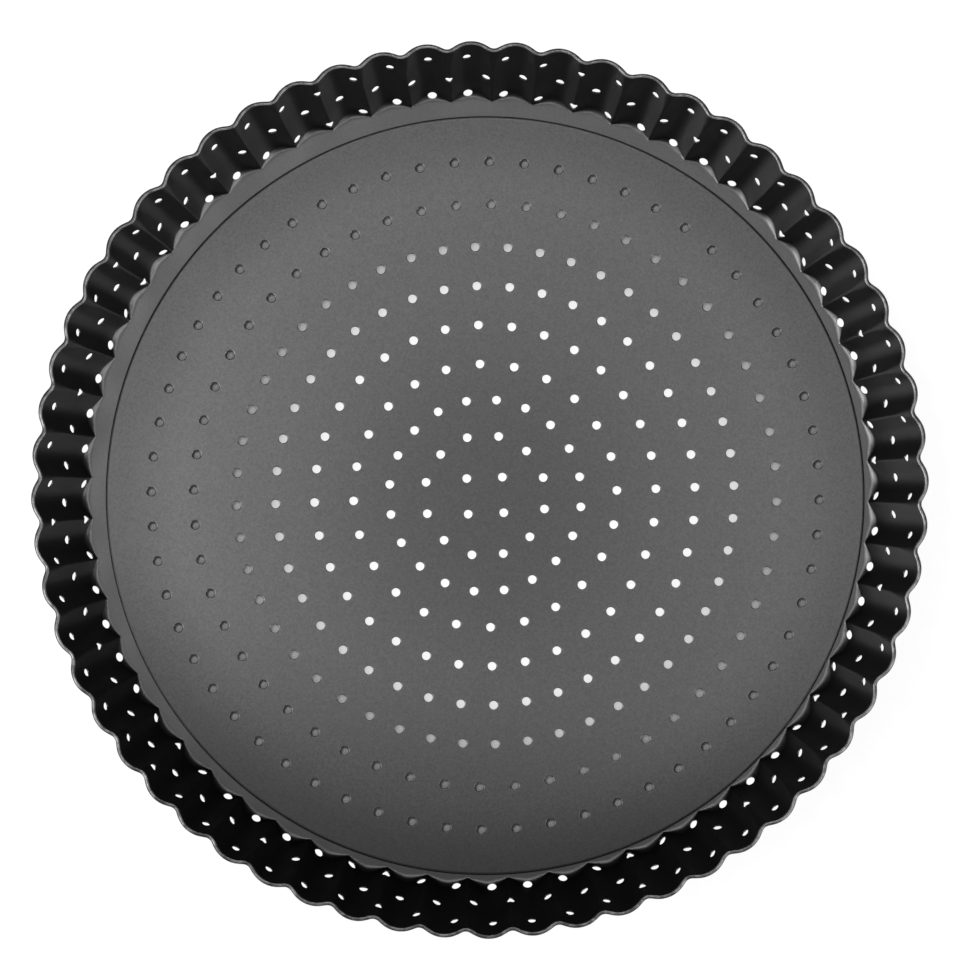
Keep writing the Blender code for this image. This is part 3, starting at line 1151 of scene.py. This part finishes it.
@dataclass
class Studio:
    """The pale floor, the soft lamps and the camera, none of which belong to the pan."""

    camera_height: float = 1.9313
    camera_x: float = -0.00012
    camera_y: float = 0.003065
    lens: float = 257.2
    sensor: float = 36.0
    nearest: float = 0.05  # the camera sees what lies between this distance
    furthest: float = 20.0  # and this
    ambient: float = 0.015
    floor_size: float = 6.0
    floor_drop: float = 0.00005  # under the pan's underside
    floor_tone: float = 0.9
    white_share: float = 0.93  # of the floor's colour that the camera sees as plain white
    shade: Shade = Shade()
    shaded_tone: float = 0.065  # the floor's own tone in the shade
    tone_start: float = 0.020  # how far from the middle its tone starts to fall
    white_start: float = 0.049  # how far from the middle the plain white starts to go
    lamps: tuple[Lamp, ...] = (
        Lamp("back", azimuth=90, elevation=66, width=1.0, height=0.6, radiance=4.9),
        Lamp("right", azimuth=0, elevation=72, width=0.8, height=0.6, radiance=3.0),
        Lamp("left", azimuth=180, elevation=74, width=0.8, height=0.6, radiance=3.4),
        Lamp("front_left", azimuth=203, elevation=26, width=1.7, height=0.9, radiance=3.1),
        Lamp("front_right", azimuth=328, elevation=24, width=1.5, height=0.9, radiance=3.0),
        Lamp("high_left", azimuth=202, elevation=53, width=0.8, height=0.7, radiance=10.0),
        Lamp("high_right", azimuth=325, elevation=53, width=0.8, height=0.7, radiance=5.0),
        Lamp("high_front", azimuth=270, elevation=56, width=0.8, height=0.7, radiance=2.6),
        Lamp("through_holes", azimuth=135, elevation=58, width=0.6, height=0.6, radiance=70.0,
             floor_only=True),
    )

    def build_camera(self) -> None:
        """Puts the camera straight above the pan, as the photograph was taken."""
        data = bpy.data.cameras.new("camera")
        data.sensor_fit = "HORIZONTAL"
        data.sensor_width = self.sensor
        data.lens = self.lens
        data.clip_start = self.nearest
        data.clip_end = self.furthest
        camera = bpy.data.objects.new("camera", data)
        camera.location = (self.camera_x, self.camera_y, self.camera_height)
        bpy.context.scene.collection.objects.link(camera)
        bpy.context.scene.camera = camera

    def build_world(self) -> None:
        """Surrounds the scene with even light, seen as white by the camera."""
        world = bpy.data.worlds.new("studio")
        world.use_nodes = True
        bpy.context.scene.world = world
        sheet = NodeSheet(world.node_tree)
        background = world.node_tree.nodes["Background"]
        seen = sheet.add("ShaderNodeLightPath").outputs["Is Camera Ray"]
        strength = sheet.add("ShaderNodeMix", {"data_type": "FLOAT"}, Factor=seen, A=self.ambient, B=1.0)
        sheet.feed(background.inputs["Color"], (1.0, 1.0, 1.0, 1.0))
        sheet.feed(background.inputs["Strength"], strength.outputs[0])

    def build_floor(self) -> bpy.types.Collection:
        """Lays the white floor, which keeps the pan's shadow.

        Returns:
            A collection with the floor alone.
        """
        material = bpy.data.materials.new("floor_white")
        material.use_nodes = True
        sheet = NodeSheet(material.node_tree)
        material.node_tree.nodes.remove(material.node_tree.nodes["Principled BSDF"])
        output = material.node_tree.nodes["Material Output"]
        tone = self.shade.apply(sheet, self.tone_start, self.floor_tone, self.shaded_tone)
        paper = sheet.add("ShaderNodeBsdfDiffuse", Color=sheet.grey(tone))
        glow = sheet.add("ShaderNodeEmission", Strength=1.0)
        path = sheet.add("ShaderNodeLightPath")
        seen = sheet.maths("MAXIMUM", path.outputs["Is Camera Ray"], path.outputs["Is Glossy Ray"])
        seen = sheet.maths("MAXIMUM", seen, path.outputs["Is Transmission Ray"])
        white = self.shade.apply(sheet, self.white_start, self.white_share, 0.0)
        mixed = sheet.add("ShaderNodeMixShader", Fac=sheet.maths("MULTIPLY", seen, white))
        sheet.feed(mixed.inputs[1], paper.outputs[0])
        sheet.feed(mixed.inputs[2], glow.outputs[0])
        sheet.feed(output.inputs["Surface"], mixed.outputs[0])
        data = bpy.data.meshes.new("floor")
        half = self.floor_size / 2
        corners = [(-half, -half, 0), (half, -half, 0), (half, half, 0), (-half, half, 0)]
        data.from_pydata(corners, [], [(0, 1, 2, 3)])
        data.materials.append(material)
        floor = bpy.data.objects.new("floor", data)
        floor.location.z = -self.floor_drop
        bpy.context.scene.collection.objects.link(floor)
        alone = bpy.data.collections.new("floor_alone")
        alone.objects.link(floor)
        return alone

    def build(self) -> None:
        """Builds everything round the pan."""
        self.build_camera()
        self.build_world()
        floor = self.build_floor()
        for lamp in self.lamps:
            lamp.build(floor)


def main() -> None:
    """Builds the pan piece by piece and the studio round it."""
    logging.basicConfig(level=logging.INFO, format="%(name)s: %(message)s")
    bpy.context.scene.view_settings.view_transform = "Standard"
    effects = CoatingEffects()
    assemblies = (
        FlutedRing(RING_COATING.build(effects)),
        LooseBase(BASE_COATING.build(effects)),
    )
    for assembly in assemblies:
        piece = assembly.build()
        mesh = piece.data
        log.info("%s: %d corners, %d faces", piece.name, len(mesh.vertices), len(mesh.polygons))
    Studio().build()


if __name__ == "__main__":
    main()
